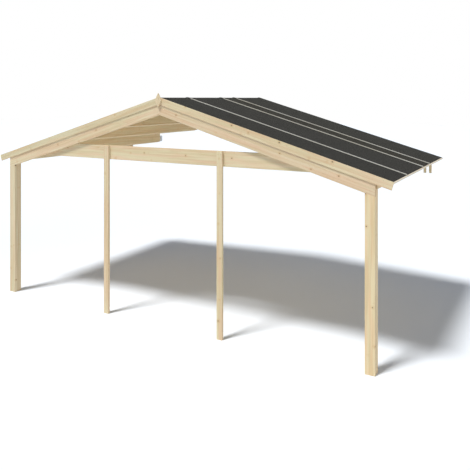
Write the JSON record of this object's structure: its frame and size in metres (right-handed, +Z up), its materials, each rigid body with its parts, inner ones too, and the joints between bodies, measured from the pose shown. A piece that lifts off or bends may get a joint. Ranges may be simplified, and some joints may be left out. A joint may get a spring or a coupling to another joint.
{
  "type": "patio cover",
  "caption": "Open timber patio cover: gable roof with felt on front posts and a tie beam, joined to a cabin at the back.",
  "frame": {"origin": "centre of the ridge purlin's flat back end, where the roof meets the cabin", "axes": "+X across the front to the right as seen from the garden, +Y back towards the cabin, +Z up; the ground is 3.0525 m below the origin"},
  "size_m": [6.431, 3.237, 3.207],
  "materials": {
    "spruce": "planed, untreated spruce",
    "batten_timber": "planed battens, weathered pale grey",
    "roofing_felt": "mineral-faced bitumen felt, matt",
    "galvanised_steel": "galvanised, dull"
  },
  "bodies": {
    "root": {"left_corner_post": "spruce", "right_corner_post": "spruce", "left_mid_post": "spruce", "right_mid_post": "spruce", "tie_beam": "spruce", "left_rafter": "spruce", "right_rafter": "spruce", "left_bargeboard": "spruce", "right_bargeboard": "spruce", "gable_diamond": "spruce", "ridge_purlin": "spruce", "left_upper_purlin": "spruce", "left_middle_purlin": "spruce", "left_lower_purlin": "spruce", "right_upper_purlin": "spruce", "right_middle_purlin": "spruce", "right_lower_purlin": "spruce", "left_eave_beam": "spruce", "right_eave_beam": "spruce", "left_roof_boards": "spruce", "right_roof_boards": "spruce", "front_felt": "roofing_felt", "second_felt": "roofing_felt", "narrow_felt": "roofing_felt", "rear_felt": "roofing_felt", "left_front_batten": "batten_timber", "left_middle_batten": "batten_timber", "left_rear_batten": "batten_timber", "right_front_batten": "batten_timber", "right_middle_batten": "batten_timber", "right_rear_batten": "batten_timber", "left_upper_plate": "galvanised_steel", "left_middle_plate": "galvanised_steel", "left_lower_plate": "galvanised_steel", "right_upper_plate": "galvanised_steel", "right_middle_plate": "galvanised_steel", "right_lower_plate": "galvanised_steel", "left_inner_cleat": "spruce", "left_outer_cleat": "spruce", "right_inner_cleat": "spruce", "right_outer_cleat": "spruce"}
  },
  "joints": []
}
